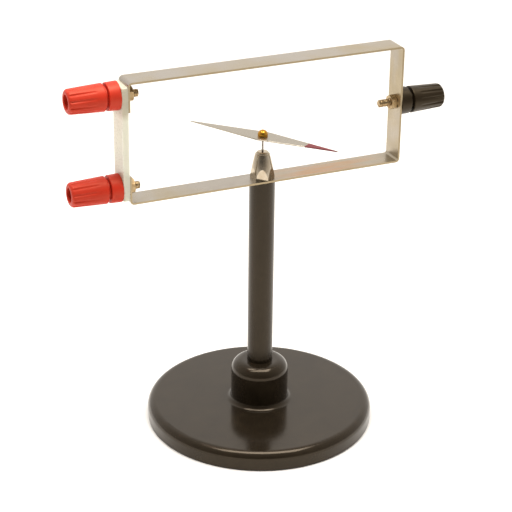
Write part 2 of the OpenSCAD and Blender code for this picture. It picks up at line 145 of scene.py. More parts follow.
class OerstedColours(bpy.types.PropertyGroup):
    """Colours of the finishes."""

    resin: colour("Resin", "Moulded resin of the base and column", "#17120d")
    resin_flow: colour("Resin flow", "Lighter flow marks in that resin", "#2c251b")
    resin_sheen: colour("Resin sheen", "Tint of that resin's gloss", "#bfb09c")
    worn: colour("Worn plate", "Brass that shows through the worn plate", "#bb9470")
    sheared: colour("Sheared edge", "Bare brass on the band's sheared edges", "#9e8f74")
    plate: colour("Plate", "Satin nickel plate of the band", "#ada69c")
    tarnish: colour("Tarnish", "Warm tarnish on the band", "#aa9c80")
    nickel: colour("Nickel", "Bright nickel plate of the pivot holder", "#c2b6a2")
    nickel_stain: colour("Nickel stain", "Warm stain on that plate", "#a08868")
    steel: colour("Steel", "Plain steel of rod, washer and nut", "#8a857e")
    steel_stain: colour("Steel stain", "Warm stain on that steel", "#8c8478")
    point: colour("Point", "Hardened steel of the pivot's point", "#958d84")
    point_stain: colour("Point stain", "Darker stain on the point", "#6a6158")
    brass: colour("Brass", "Turned brass of studs, nuts and inserts", "#b49e7a")
    brass_stain: colour("Brass stain", "Brown stain on that brass", "#8e7048")
    # Painted shade: the inserts sit deep in the groove between cap and collar, so their brass is
    # painted dark brown for the shade there, with darker patches
    shaded_brass: colour("Dull brass", "Shadowed brass inside the caps", "#4a3820")
    shaded_brass_stain: colour("Dull brass stain", "Darker stain on that brass", "#241a10")
    gilt: colour("Gilt", "Polished brass of the needle's cap", "#cf9a3a")
    gilt_stain: colour("Gilt stain", "Redder stain on that brass", "#c07828")
    blade: colour("Blade", "Ground steel of the needle", "#aaa396")
    paint: colour("Paint", "Lacquer on the needle's painted end", "#66101a")
    bar: colour("Bar", "Milky acrylic of the insulating bar", "#e0e0d0")
    red: colour("Red", "Red moulded caps and collars", "#c02d1b")
    red_sheen: colour("Red sheen", "Tint of the red mouldings' gloss", "#e8c4a4")
    black: colour("Black", "Black moulded cap and collar", "#18110a")
    black_sheen: colour("Black sheen", "Tint of the black mouldings' gloss", "#dcc49c")
    ruby: colour("Ruby", "Jewel in the needle's cap", "#8e1f30")
    floor: colour("Floor", "Studio floor", "#fbfaf8")
    light: colour("Light", "Studio light, a little warm", "#fffaf4")


class OerstedStudioSizes(bpy.types.PropertyGroup):
    """Camera and lights of the studio."""

    azimuth: bpy.props.FloatProperty(
        name="Azimuth", description="Direction in which the camera looks, from +Y towards +X",
        default=math.radians(24.466), subtype="ANGLE")
    elevation: bpy.props.FloatProperty(
        name="Elevation", description="Angle by which the camera looks down",
        default=math.radians(25.034), subtype="ANGLE")
    roll: bpy.props.FloatProperty(
        name="Roll", description="Turn of the camera about its own line of sight",
        default=math.radians(0.72), subtype="ANGLE")
    distance: length("Distance", "Distance of the camera from the point it looks at", 882.54)
    target_height: length("Target height", "Height of the point it looks at", 93.503)
    target_shift: length("Target shift", "Place of that point to the camera's right", -2.648)
    lens: bpy.props.FloatProperty(
        name="Lens", description="Focal length on a sensor 36 mm wide", default=119.35,
        subtype="DISTANCE_CAMERA")
    sky_back: bpy.props.FloatProperty(
        name="Back of the room", description="Strength of the light from behind the object",
        default=1.22)
    sky_side: bpy.props.FloatProperty(
        name="Sides of the room", description="Strength of the light beside the camera",
        default=0.36)
    sky_front: bpy.props.FloatProperty(
        name="Front of the room", description="Part of the side light left behind the camera",
        default=0.3)
    key: bpy.props.FloatProperty(
        name="Key", description="Power of the large light overhead, in watts", default=16)
    key_width: length("Key width", "Width of that light", 1000)
    key_depth: length("Key depth", "Depth of that light", 550)
    key_height: length("Key height", "Height of that light above the floor", 1100)
    floor_width: length("Floor width", "Width of the square floor", 12000)


# Small helpers


def add(tree, kind, inputs=None, **settings):
    """Adds a node. Each input is a value, or the output socket that feeds it."""
    node = tree.nodes.new(kind)
    for key, value in settings.items():
        setattr(node, key, value)
    for key, value in (inputs or {}).items():
        if isinstance(value, bpy.types.NodeSocket):
            tree.links.new(value, node.inputs[key])
        else:
            node.inputs[key].default_value = value
    return node


def new_finish(name):
    """An empty material with its shader and object coordinates."""
    material = bpy.data.materials.new(name)
    material.use_nodes = True
    tree = material.node_tree
    tree.nodes.clear()
    shader = add(tree, "ShaderNodeBsdfPrincipled")
    add(tree, "ShaderNodeOutputMaterial", {"Surface": shader.outputs[0]})
    place = add(tree, "ShaderNodeTexCoord").outputs["Object"]
    return material, tree, shader, place


def wear(node, finish):
    """Gives a CAD node or a piece its one finish."""
    node.data.materials.clear()
    node.data.materials.append(finish)


def new_piece(name, mesh, edge=35):
    """An object for a mesh, smooth but for the edges sharper than edge degrees."""
    mesh.shade_smooth()
    mesh.set_sharp_from_angle(angle=math.radians(edge))
    piece = bpy.data.objects.new(name, mesh)
    bpy.context.scene.collection.objects.link(piece)
    return piece


def settle(piece, name):
    """Turns a piece with modifiers into a plain mesh with none."""
    graph = bpy.context.evaluated_depsgraph_get()
    mesh = bpy.data.meshes.new_from_object(piece.evaluated_get(graph))
    bpy.data.objects.remove(piece)
    mesh.name = name
    return new_piece(name, mesh)


def skin(name, rings, closed=False):
    """A mesh over rings of points. A ring of one point closes an end."""
    mesh = bpy.data.meshes.new(name)
    shape = bmesh.new()
    count = max(len(ring) for ring in rings)
    rings = [[shape.verts.new(point) for point in ring] for ring in rings]
    rings = [ring * count if len(ring) == 1 else ring for ring in rings]
    pairs = list(zip(rings, rings[1:])) + ([(rings[-1], rings[0])] if closed else [])
    for low, high in pairs:
        for i in range(count):
            j = (i + 1) % count
            corners = [low[i], low[j], high[j], high[i]]
            corners = [v for k, v in enumerate(corners) if v is not corners[k - 1]]
            if len(corners) > 2:
                shape.faces.new(corners)
    bmesh.ops.recalc_face_normals(shape, faces=shape.faces)
    shape.to_mesh(mesh)
    shape.free()
    return mesh


def turned(name, outline, segments, closed=False):
    """A turned solid about Z from (radius, height) points. A closed outline makes a ring."""
    angles = [2 * math.pi * i / segments for i in range(segments)]
    return skin(name, [
        [(0, 0, height)] if radius < 1e-7 else
        [(radius * math.cos(a), radius * math.sin(a), height) for a in angles]
        for radius, height in outline], closed)


def arc(centre, radius, start, end, steps):
    """Points of an arc in an outline, between two angles in degrees."""
    angles = [math.radians(start + (end - start) * i / steps) for i in range(steps + 1)]
    return [(centre[0] + radius * math.cos(a), centre[1] + radius * math.sin(a)) for a in angles]


def post_place(post):
    """Where a post's own frame stands: the middle of its face, and its turn about Y."""
    low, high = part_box(post + "_collar")
    side = 1 if low.x > 0 else -1
    face = low.x if side > 0 else high.x
    return Vector((face, 0, (low.z + high.z) / 2)), side * math.pi / 2


# Geometry Nodes


def new_shape_tree(name, sizes):
    """A geometry tree with its group input, output and named inputs of the given kinds."""
    tree = bpy.data.node_groups.new(name, "GeometryNodeTree")
    tree.interface.new_socket(name="Geometry", in_out="INPUT", socket_type="NodeSocketGeometry")
    for label, kind in sizes:
        tree.interface.new_socket(name=label, in_out="INPUT", socket_type="NodeSocket" + kind)
    tree.interface.new_socket(name="Geometry", in_out="OUTPUT", socket_type="NodeSocketGeometry")
    return tree, add(tree, "NodeGroupInput").outputs


def end_shape_tree(tree, shape, given):
    """Places the shape, realizes it and gives it its material."""
    placed = add(tree, "GeometryNodeTransform", {
        "Geometry": shape, "Translation": given["Place"], "Rotation": given["Turn"]})
    real = add(tree, "GeometryNodeRealizeInstances", {"Geometry": placed.outputs[0]})
    painted = add(tree, "GeometryNodeSetMaterial", {
        "Geometry": real.outputs[0], "Material": given["Finish"]})
    add(tree, "NodeGroupOutput", {"Geometry": painted.outputs[0]})


def flute_tree():
    """Presses the finger flutes into a turned cap that stands on the origin.

    A point moves in to the flute's floor where it lies outside it. The floor leans inwards, so a
    flute deepens towards the free end, and its edges are soft, as the mould's are.
    """
    tree, given = new_shape_tree("Finger flutes", [
        ("Count", "Int"), ("Start", "Float"), ("Length", "Float"), ("Rear radius", "Float"),
        ("End radius", "Float"), ("Start depth", "Float"), ("End depth", "Float"),
        ("Softness", "Float"), ("Place", "Vector"), ("Turn", "Vector"), ("Finish", "Material")])
    position = add(tree, "GeometryNodeInputPosition").outputs[0]
    xyz = add(tree, "ShaderNodeSeparateXYZ", {0: position}).outputs
    angle = add(tree, "ShaderNodeMath", {0: xyz[1], 1: xyz[0]}, operation="ARCTAN2")
    turns = add(tree, "ShaderNodeMath", {
        0: angle.outputs[0], 1: given["Count"]}, operation="MULTIPLY")
    wave = add(tree, "ShaderNodeMath", {0: turns.outputs[0]}, operation="COSINE")
    # A flute takes a little more than half of the pitch, so it starts where the wave is near zero
    lobe = add(tree, "ShaderNodeMapRange", {
        "Value": wave.outputs[0], "From Min": 0.12, "From Max": -1.0, "To Min": 0.0, "To Max": 1.0})
    # It runs in over 1.6 mm round its start
    before = add(tree, "ShaderNodeMath", {0: given["Start"], 1: 0.7 * MM}, operation="SUBTRACT")
    after = add(tree, "ShaderNodeMath", {0: given["Start"], 1: 0.9 * MM}, operation="ADD")
    run_in = add(tree, "ShaderNodeMapRange", {
        "Value": xyz[2], "From Min": before.outputs[0], "From Max": after.outputs[0],
        "To Min": 0.0, "To Max": 1.0}, interpolation_type="SMOOTHSTEP")
    depth = add(tree, "ShaderNodeMapRange", {
        "Value": xyz[2], "From Min": given["Start"], "From Max": given["Length"],
        "To Min": given["Start depth"], "To Max": given["End depth"]})
    blank = add(tree, "ShaderNodeMapRange", {
        "Value": xyz[2], "From Min": 0.0, "From Max": given["Length"],
        "To Min": given["Rear radius"], "To Max": given["End radius"]}, clamp=False)
    # Away from the flutes the limit lies outside the cap by this much, so it moves nothing there
    spare = add(tree, "ShaderNodeMath", {0: given["Softness"], 1: 1.2}, operation="MULTIPLY")
    outside = add(tree, "ShaderNodeMath", {
        0: blank.outputs[0], 1: spare.outputs[0]}, operation="ADD")
    reach = add(tree, "ShaderNodeMath", {
        0: depth.outputs[0], 1: spare.outputs[0]}, operation="ADD")
    share = add(tree, "ShaderNodeMath", {
        0: lobe.outputs[0], 1: run_in.outputs[0]}, operation="MULTIPLY")
    press = add(tree, "ShaderNodeMath", {
        0: reach.outputs[0], 1: share.outputs[0]}, operation="MULTIPLY")
    limit = add(tree, "ShaderNodeMath", {
        0: outside.outputs[0], 1: press.outputs[0]}, operation="SUBTRACT")
    flat = add(tree, "ShaderNodeCombineXYZ", {0: xyz[0], 1: xyz[1]})
    radius = add(tree, "ShaderNodeVectorMath", {0: flat.outputs[0]}, operation="LENGTH")
    pressed = add(tree, "ShaderNodeMath", {
        0: radius.outputs["Value"], 1: limit.outputs[0], 2: given["Softness"]},
        operation="SMOOTH_MIN")
    ratio = add(tree, "ShaderNodeMath", {
        0: pressed.outputs[0], 1: radius.outputs["Value"]}, operation="DIVIDE")
    drawn = add(tree, "ShaderNodeVectorMath", {
        0: flat.outputs[0], "Scale": ratio.outputs[0]}, operation="SCALE")
    level = add(tree, "ShaderNodeCombineXYZ", {2: xyz[2]})
    moved = add(tree, "ShaderNodeVectorMath", {
        0: drawn.outputs[0], 1: level.outputs[0]}, operation="ADD")
    shape = add(tree, "GeometryNodeSetPosition", {
        "Geometry": given["Geometry"], "Position": moved.outputs[0]})
    end_shape_tree(tree, shape.outputs[0], given)
    return tree


def thread_tree():
    """Winds a screw thread's ridge round a turned core that stands along Z."""
    tree, given = new_shape_tree("Screw thread", [
        ("Start", "Float"), ("Length", "Float"), ("Pitch", "Float"), ("Core", "Float"),
        ("Crest", "Float"), ("Place", "Vector"), ("Turn", "Vector"), ("Finish", "Material")])
    turns = add(tree, "ShaderNodeMath", {0: given["Length"], 1: given["Pitch"]}, operation="DIVIDE")
    height = add(tree, "ShaderNodeMath", {
        0: given["Crest"], 1: given["Core"]}, operation="SUBTRACT")
    spiral = add(tree, "GeometryNodeCurveSpiral", {
        "Resolution": 28, "Rotations": turns.outputs[0], "Start Radius": given["Core"],
        "End Radius": given["Core"], "Height": given["Length"]})
    ridge = add(tree, "GeometryNodeCurvePrimitiveCircle", {
        "Resolution": 4, "Radius": height.outputs[0]})
    wound = add(tree, "GeometryNodeCurveToMesh", {
        "Curve": spiral.outputs[0], "Profile Curve": ridge.outputs[0], "Fill Caps": True})
    up = add(tree, "ShaderNodeCombineXYZ", {2: given["Start"]})
    raised = add(tree, "GeometryNodeTransform", {
        "Geometry": wound.outputs[0], "Translation": up.outputs[0]})
    both = add(tree, "GeometryNodeJoinGeometry", {"Geometry": given["Geometry"]})
    tree.links.new(raised.outputs[0], both.inputs[0])
    end_shape_tree(tree, both.outputs[0], given)
    return tree


def shaped(name, mesh, tree, values):
    """The mesh as a geometry tree leaves it. values are the tree's named inputs."""
    blank = bpy.data.objects.new(name + "_blank", mesh)
    bpy.context.scene.collection.objects.link(blank)
    modifier = blank.modifiers.new("Shape", "NODES")
    modifier.node_group = tree
    for item in tree.interface.items_tree:
        if item.in_out == "INPUT" and item.name in values:
            modifier[item.identifier] = values[item.name]
    return settle(blank, name)


# Finishes


def phenolic_resin(colours):
    """Phenolic resin, compression moulded in a polished mould: nearly black brown, with faint
    flow marks and a gloss that is a little uneven, as the flat top's reflections show."""
    finish, tree, shader, place = new_finish("Phenolic resin, compression moulded")
    flow = add(tree, "ShaderNodeTexNoise", {
        "Vector": place, "Scale": 1 / (14 * MM), "Detail": 4.0, "Distortion": 1.2})
    tint = add(tree, "ShaderNodeMix", {
        0: flow.outputs[0], 6: colours.resin, 7: colours.resin_flow}, data_type="RGBA")
    haze = add(tree, "ShaderNodeTexNoise", {
        "Vector": place, "Scale": 1 / (5 * MM), "Detail": 6.0})
    gloss = add(tree, "ShaderNodeMapRange", {
        "Value": haze.outputs[0], "From Min": 0.3, "From Max": 0.7, "To Min": 0.13, "To Max": 0.19})
    peel = add(tree, "ShaderNodeTexNoise", {
        "Vector": place, "Scale": 1 / (2.4 * MM), "Detail": 2.0})
    bump = add(tree, "ShaderNodeBump", {
        "Height": peel.outputs[0], "Strength": 0.03, "Distance": 0.02 * MM})
    tree.links.new(tint.outputs[2], shader.inputs["Base Color"])
    tree.links.new(gloss.outputs[0], shader.inputs["Roughness"])
    tree.links.new(bump.outputs[0], shader.inputs["Normal"])
    shader.inputs["IOR"].default_value = 1.6
    shader.inputs["Specular Tint"].default_value = colours.resin_sheen
    return finish


def nickel_strip(colours):
    """Brass strip, rolled and nickel plated: satin, with lines along its length from the rolls
    and warm tarnish in patches, more of it towards the black post. The plate is worn through in
    streaks right of the column, and the sheared edges show bare brass. The lines are drawn
    0.4 mm apart, coarser than real ones."""
    finish, tree, shader, place = new_finish("Nickel plated brass strip, rolled")
    patches = add(tree, "ShaderNodeTexNoise", {
        "Vector": place, "Scale": 1 / (34 * MM), "Detail": 3.0, "Distortion": 0.6})
    axes = add(tree, "ShaderNodeSeparateXYZ", {0: place})
    handled = add(tree, "ShaderNodeMapRange", {
        "Value": axes.outputs[0], "From Min": 0.0, "From Max": 75 * MM,
        "To Min": 0.0, "To Max": 0.14})
    grown = add(tree, "ShaderNodeMath", {
        0: patches.outputs[0], 1: handled.outputs[0]}, operation="ADD")
    stain = add(tree, "ShaderNodeMapRange", {
        "Value": grown.outputs[0], "From Min": 0.46, "From Max": 0.7, "To Min": 0.0, "To Max": 0.9})
    tint = add(tree, "ShaderNodeMix", {
        0: stain.outputs[0], 6: colours.plate, 7: colours.tarnish}, data_type="RGBA")
    # The worn place lies on the lower strip, 34 mm right of the column's axis
    spot = add(tree, "ShaderNodeVectorMath", {
        0: place, 1: (34 * MM, 0.0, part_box("conductor_band")[0].z)}, operation="DISTANCE")
    near = add(tree, "ShaderNodeMapRange", {
        "Value": spot.outputs["Value"], "From Min": 12 * MM, "From Max": 38 * MM,
        "To Min": 0.8, "To Max": 0.0})
    drawn = add(tree, "ShaderNodeMapping", {
        "Vector": place, "Scale": (1 / (26 * MM), 1 / (3 * MM), 1 / (26 * MM))})
    streaks = add(tree, "ShaderNodeTexNoise", {
        "Vector": drawn.outputs[0], "Scale": 1.0, "Detail": 3.0})
    streaky = add(tree, "ShaderNodeMapRange", {
        "Value": streaks.outputs[0], "From Min": 0.38, "From Max": 0.6})
    rubbed = add(tree, "ShaderNodeMath", {
        0: near.outputs[0], 1: streaky.outputs[0]}, operation="MULTIPLY")
    aged = add(tree, "ShaderNodeMix", {
        0: rubbed.outputs[0], 6: tint.outputs[2], 7: colours.worn}, data_type="RGBA")
    across = add(tree, "ShaderNodeMath", {0: axes.outputs[1]}, operation="ABSOLUTE")
    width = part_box("conductor_band")[1].y
    cut = add(tree, "ShaderNodeMapRange", {
        "Value": across.outputs[0], "From Min": width - 0.12 * MM,
        "From Max": width - 0.02 * MM})
    whole = add(tree, "ShaderNodeMix", {
        0: cut.outputs[0], 6: aged.outputs[2], 7: colours.sheared}, data_type="RGBA")
    stretch = add(tree, "ShaderNodeMapping", {
        "Vector": place, "Scale": (1 / (40 * MM), 1 / (0.4 * MM), 1 / (40 * MM))})
    lines = add(tree, "ShaderNodeTexNoise", {
        "Vector": stretch.outputs[0], "Scale": 1.0, "Detail": 3.0})
    smears = add(tree, "ShaderNodeTexNoise", {
        "Vector": place, "Scale": 1 / (7 * MM), "Detail": 5.0})
    both = add(tree, "ShaderNodeMath", {0: lines.outputs[0], 1: smears.outputs[0]}, operation="ADD")
    gloss = add(tree, "ShaderNodeMapRange", {
        "Value": both.outputs[0], "From Min": 0.7, "From Max": 1.3, "To Min": 0.24, "To Max": 0.42})
    bump = add(tree, "ShaderNodeBump", {
        "Height": lines.outputs[0], "Strength": 0.25, "Distance": 0.02 * MM})
    tree.links.new(whole.outputs[2], shader.inputs["Base Color"])
    tree.links.new(gloss.outputs[0], shader.inputs["Roughness"])
    tree.links.new(bump.outputs[0], shader.inputs["Normal"])
    shader.inputs["Metallic"].default_value = 1.0
    return finish


def turned_metal(name, bright, stain, amount, rough, ring):
    """Metal turned on a lathe: fine marks from the tool, and stain in patches. amount is the
    most that the stain covers, rough the roughness that the patches vary, and ring the
    distance between marks in millimetres, drawn coarser than the tool's real feed."""
    finish, tree, shader, place = new_finish(name)
    patches = add(tree, "ShaderNodeTexNoise", {
        "Vector": place, "Scale": 1 / (3.5 * MM), "Detail": 4.0})
    spread = add(tree, "ShaderNodeMapRange", {
        "Value": patches.outputs[0], "From Min": 0.42, "From Max": 0.72,
        "To Min": 0.0, "To Max": amount})
    tint = add(tree, "ShaderNodeMix", {
        0: spread.outputs[0], 6: bright, 7: stain}, data_type="RGBA")
    rings = add(tree, "ShaderNodeTexNoise", {
        "Vector": place, "Scale": 1 / (ring * MM), "Detail": 2.0})
    gloss = add(tree, "ShaderNodeMapRange", {
        "Value": patches.outputs[0], "From Min": 0.3, "From Max": 0.7,
        "To Min": rough * 0.8, "To Max": rough * 1.5})
    bump = add(tree, "ShaderNodeBump", {
        "Height": rings.outputs[0], "Strength": 0.15, "Distance": 0.01 * MM})
    tree.links.new(tint.outputs[2], shader.inputs["Base Color"])
    tree.links.new(gloss.outputs[0], shader.inputs["Roughness"])
    tree.links.new(bump.outputs[0], shader.inputs["Normal"])
    shader.inputs["Metallic"].default_value = 1.0
    return finish


def lacquered_blade(colours, sizes):
    """Magnet steel, ground flat: pale grey with grinding lines across it. Towards one tip it
    is dipped in red lacquer, whose edge wavers and is worn off at the very tip."""
    finish, tree, shader, place = new_finish("Magnet steel, ground, one end lacquered")
    along = add(tree, "ShaderNodeMapping", {
        "Vector": place, "Rotation": (0.0, 0.0, -sizes.heading)})
    axes = add(tree, "ShaderNodeSeparateXYZ", {0: along.outputs[0]})
    waver = add(tree, "ShaderNodeTexNoise", {
        "Vector": place, "Scale": 1 / (1.6 * MM), "Detail": 2.0})
    shift = add(tree, "ShaderNodeMath", {0: waver.outputs[0], 1: 1.2 * MM}, operation="MULTIPLY")
    reach = add(tree, "ShaderNodeMath", {0: axes.outputs[0], 1: shift.outputs[0]}, operation="ADD")
    begun = add(tree, "ShaderNodeMapRange", {
        "Value": reach.outputs[0], "From Min": sizes.paint_start + 0.4 * MM,
        "From Max": sizes.paint_start + 0.9 * MM})
    ended = add(tree, "ShaderNodeMapRange", {
        "Value": reach.outputs[0], "From Min": sizes.paint_end + 0.2 * MM,
        "From Max": sizes.paint_end + 0.9 * MM, "To Min": 1.0, "To Max": 0.0})
    paint = add(tree, "ShaderNodeMath", {
        0: begun.outputs[0], 1: ended.outputs[0]}, operation="MULTIPLY")
    stretch = add(tree, "ShaderNodeMapping", {
        "Vector": along.outputs[0], "Scale": (1 / (0.35 * MM), 1 / (6 * MM), 1 / (6 * MM))})
    lines = add(tree, "ShaderNodeTexNoise", {"Vector": stretch.outputs[0], "Scale": 1.0})
    bare = add(tree, "ShaderNodeMapRange", {
        "Value": paint.outputs[0], "To Min": 1.0, "To Max": 0.0})
    tint = add(tree, "ShaderNodeMix", {
        0: paint.outputs[0], 6: colours.blade, 7: colours.paint}, data_type="RGBA")
    gloss = add(tree, "ShaderNodeMapRange", {
        "Value": lines.outputs[0], "From Min": 0.3, "From Max": 0.7,
        "To Min": 0.24, "To Max": 0.36})
    bump = add(tree, "ShaderNodeBump", {
        "Height": lines.outputs[0], "Strength": 0.03, "Distance": 0.01 * MM})
    tree.links.new(tint.outputs[2], shader.inputs["Base Color"])
    tree.links.new(bare.outputs[0], shader.inputs["Metallic"])
    tree.links.new(gloss.outputs[0], shader.inputs["Roughness"])
    tree.links.new(bump.outputs[0], shader.inputs["Normal"])
    # The lacquer has dulled with age
    shader.inputs["Specular IOR Level"].default_value = 0.22
    return finish


def milky_acrylic(colours):
    """Cast acrylic sheet, milky: light spreads inside it, so its faces and edges look alike. A warm
    shade is painted towards its two ends, where the band's tabs lie behind it, standing in for
    their show-through."""
    finish, tree, shader, place = new_finish("Acrylic, cast sheet, milky")
    cloud = add(tree, "ShaderNodeTexNoise", {
        "Vector": place, "Scale": 1 / (12 * MM), "Detail": 2.0})
    lift = add(tree, "ShaderNodeMapRange", {
        "Value": cloud.outputs[0], "From Min": 0.3, "From Max": 0.7,
        "To Min": 0.96, "To Max": 1.03})
    # Painted show-through of the band's tabs: a warm shade towards each end, stronger at the upper
    # tab, each over 13 mm with an edge of 4 mm
    low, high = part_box("insulating_bar")
    height = add(tree, "ShaderNodeSeparateXYZ", {0: place}).outputs[2]
    top = add(tree, "ShaderNodeMapRange", {
        "Value": height, "From Min": high.z - 17 * MM, "From Max": high.z - 13 * MM})
    bottom = add(tree, "ShaderNodeMapRange", {
        "Value": height, "From Min": low.z + 13 * MM, "From Max": low.z + 17 * MM,
        "To Min": 0.5, "To Max": 0.0})
    tabs = add(tree, "ShaderNodeMath", {
        0: top.outputs[0], 1: bottom.outputs[0]}, operation="MAXIMUM")
    painted_show_through = add(tree, "ShaderNodeMapRange", {
        "Value": tabs.outputs[0], "To Min": 0.0, "To Max": 0.6})
    clean = add(tree, "ShaderNodeHueSaturation", {
        "Value": lift.outputs[0], "Color": colours.bar})
    # The painted show-through of the tabs takes the band's tarnish colour
    tint = add(tree, "ShaderNodeMix", {
        0: painted_show_through.outputs[0], 6: clean.outputs[0], 7: colours.tarnish}, data_type="RGBA")
    saw = add(tree, "ShaderNodeTexNoise", {
        "Vector": place, "Scale": 1 / (0.8 * MM), "Detail": 2.0})
    gloss = add(tree, "ShaderNodeMapRange", {
        "Value": saw.outputs[0], "From Min": 0.3, "From Max": 0.7, "To Min": 0.26, "To Max": 0.32})
    tree.links.new(tint.outputs[2], shader.inputs["Base Color"])
    tree.links.new(gloss.outputs[0], shader.inputs["Roughness"])
    shader.inputs["Subsurface Weight"].default_value = 0.5
    shader.inputs["Subsurface Radius"].default_value = (4 * MM, 3.8 * MM, 3.4 * MM)
    shader.inputs["Subsurface Scale"].default_value = 1.0
    shader.inputs["IOR"].default_value = 1.49
    return finish


def moulded_plastic(name, tone, sheen, rough):
    """Glass-filled polyamide, injection moulded: an even colour with a fine spark-eroded
    texture that breaks up the gloss, a shade lighter where fingers have rubbed it. The
    texture's grain is drawn 0.35 mm wide, coarser than a real one."""
    finish, tree, shader, place = new_finish(name)
    rubbed = add(tree, "ShaderNodeTexNoise", {
        "Vector": place, "Scale": 1 / (8 * MM), "Detail": 3.0})
    lift = add(tree, "ShaderNodeMapRange", {
        "Value": rubbed.outputs[0], "From Min": 0.35, "From Max": 0.75,
        "To Min": 0.94, "To Max": 1.1})
    tint = add(tree, "ShaderNodeHueSaturation", {"Value": lift.outputs[0], "Color": tone})
    grain = add(tree, "ShaderNodeTexNoise", {
        "Vector": place, "Scale": 1 / (0.35 * MM), "Detail": 3.0})
    gloss = add(tree, "ShaderNodeMapRange", {
        "Value": rubbed.outputs[0], "From Min": 0.3, "From Max": 0.7,
        "To Min": rough * 1.15, "To Max": rough * 0.85})
    bump = add(tree, "ShaderNodeBump", {
        "Height": grain.outputs[0], "Strength": 0.2, "Distance": 0.03 * MM})
    tree.links.new(tint.outputs[0], shader.inputs["Base Color"])
    tree.links.new(gloss.outputs[0], shader.inputs["Roughness"])
    tree.links.new(bump.outputs[0], shader.inputs["Normal"])
    shader.inputs["IOR"].default_value = 1.53
    shader.inputs["Specular Tint"].default_value = sheen
    return finish


def cut_ruby(colours):
    """Synthetic ruby, ground and polished: deep red, clear and very smooth."""
    finish, tree, shader, place = new_finish("Ruby, ground and polished")
    depth = add(tree, "ShaderNodeTexNoise", {"Vector": place, "Scale": 1 / MM})
    tint = add(tree, "ShaderNodeHueSaturation", {
        "Value": depth.outputs[0], "Color": colours.ruby})
    tree.links.new(tint.outputs[0], shader.inputs["Base Color"])
    shader.inputs["Roughness"].default_value = 0.05
    shader.inputs["Transmission Weight"].default_value = 0.6
    shader.inputs["IOR"].default_value = 1.76
    return finish


def matte_paper(colours):
    """White background paper of a photographer's table: matte, with a faint tooth."""
    finish, tree, shader, place = new_finish("Background paper, matte")
    tooth = add(tree, "ShaderNodeTexNoise", {"Vector": place, "Scale": 1 / (2 * MM)})
    bump = add(tree, "ShaderNodeBump", {
        "Height": tooth.outputs[0], "Strength": 0.05, "Distance": 0.05 * MM})
    tree.links.new(bump.outputs[0], shader.inputs["Normal"])
    shader.inputs["Base Color"].default_value = colours.floor
    shader.inputs["Roughness"].default_value = 0.9
    return finish


# Pieces


class OERSTED_OT_stand(bpy.types.Operator):
    """Finish the base and column, and thread the tie rod that holds them"""

    bl_idname = "oersted.stand"
    bl_label = "Stand"

    def execute(self, context):
        colours = context.scene.oersted_colours
        sizes = context.scene.oersted_stand
        resin = phenolic_resin(colours)
        wear(NODES["base"], resin)
        wear(NODES["column"], resin)
        steel = turned_metal(
            "Steel, turned, plain", colours.steel, colours.steel_stain, 0.5, 0.3, 0.3)
        wear(NODES["rod_washer"], steel)
        wear(NODES["rod_nut"], steel)
        low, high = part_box("tie_rod")
        tall, edge = high.z - low.z, 0.4 * MM
        core = turned("tie_rod_core", [
            (0, 0), (sizes.rod_core - edge, 0), (sizes.rod_core, edge),
            (sizes.rod_core, sizes.rod_thread), (sizes.rod_radius, sizes.rod_thread + edge),
            (sizes.rod_radius, tall - sizes.rod_thread), (sizes.rod_radius - edge, tall),
            (0, tall)], 64)
        rod = shaped("tie_rod_threaded", core, thread_tree(), {
            "Start": edge, "Length": sizes.rod_thread - edge, "Pitch": sizes.rod_pitch,
            "Core": sizes.rod_core, "Crest": sizes.rod_radius, "Place": (0, 0, low.z),
            "Finish": steel})
        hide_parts("tie_rod")
        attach(rod, "stand")
        return {"FINISHED"}


class OERSTED_OT_band(bpy.types.Operator):
    """Finish the conductor band and the bar between its ends"""

    bl_idname = "oersted.band"
    bl_label = "Conductor band"

    def execute(self, context):
        colours = context.scene.oersted_colours
        wear(NODES["conductor_band"], nickel_strip(colours))
        wear(NODES["insulating_bar"], milky_acrylic(colours))
        return {"FINISHED"}


